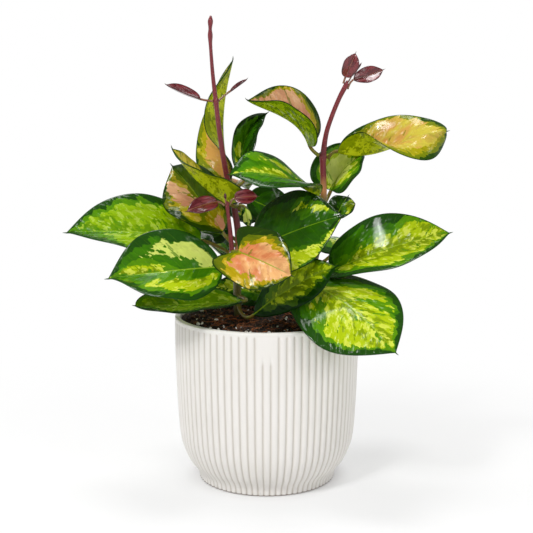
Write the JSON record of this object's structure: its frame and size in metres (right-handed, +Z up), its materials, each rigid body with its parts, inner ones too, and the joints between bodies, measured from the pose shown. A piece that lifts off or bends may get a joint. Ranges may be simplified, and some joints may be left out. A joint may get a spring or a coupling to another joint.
{
  "type": "potted hoya",
  "caption": "Variegated wax plant with broad waxy leaves and crimson shoots, growing in soil in a round ribbed pot with a low foot.",
  "frame": {"origin": "centre of the pot's underside, on the surface it stands on", "axes": "+Z up along the pot's axis, +X to the right and -Y towards the viewer who faces the plant's front"},
  "size_m": [0.2586, 0.179, 0.3236],
  "materials": {
    "pot": "matt off-white with fine moulded ribs",
    "soil": "coarse dark bark and peat mix with white perlite",
    "stem_crimson": "smooth crimson bark, brown to olive at the base",
    "leaf_lime": "waxy gloss, dark green rim and lime splashes",
    "leaf_green": "waxy gloss, dark green with a few lime streaks",
    "leaf_pink": "waxy gloss, salmon pink centre with a green rim",
    "leaf_gold": "waxy gloss, golden yellow with a green rim",
    "young_leaf": "satin crimson"
  },
  "bodies": {
    "root": {"pot": "pot", "soil": "soil", "stem_tall": "stem_crimson", "stem_right": "stem_crimson", "stem_front": "stem_crimson", "leaf_far_left": "leaf_lime", "leaf_front_left": "leaf_lime", "leaf_pink_fold": "leaf_pink", "leaf_yellow_curl": "leaf_gold", "leaf_centre_glossy": "leaf_green", "leaf_tall_cream": "leaf_gold", "leaf_dark_upright": "leaf_green", "leaf_arch_pink": "leaf_pink", "leaf_yellow_right": "leaf_gold", "leaf_behind_stem": "leaf_lime", "leaf_small_curled": "leaf_green", "leaf_dark_centre": "leaf_green", "leaf_pink_front": "leaf_pink", "leaf_low_left": "leaf_lime", "leaf_low_centre": "leaf_green", "leaf_lower_right": "leaf_lime", "leaf_right": "leaf_lime", "leaf_shade": "leaf_green", "leaf_low_behind": "leaf_green", "leaf_pale_hanging": "leaf_lime", "leaf_back_left": "leaf_lime", "leaf_back_middle": "leaf_green", "leaf_back_right": "leaf_lime", "leaf_back_low": "leaf_green", "leaf_back_shade": "leaf_green", "leaf_back_upper": "leaf_pink", "young_leaf_tall_left": "young_leaf", "young_leaf_tall_right": "young_leaf", "young_leaf_front_left": "young_leaf", "young_leaf_front_right": "young_leaf", "young_leaf_right_upright": "young_leaf", "young_leaf_right_side": "young_leaf", "bud_front": "young_leaf", "bud_right": "young_leaf"}
  },
  "joints": []
}
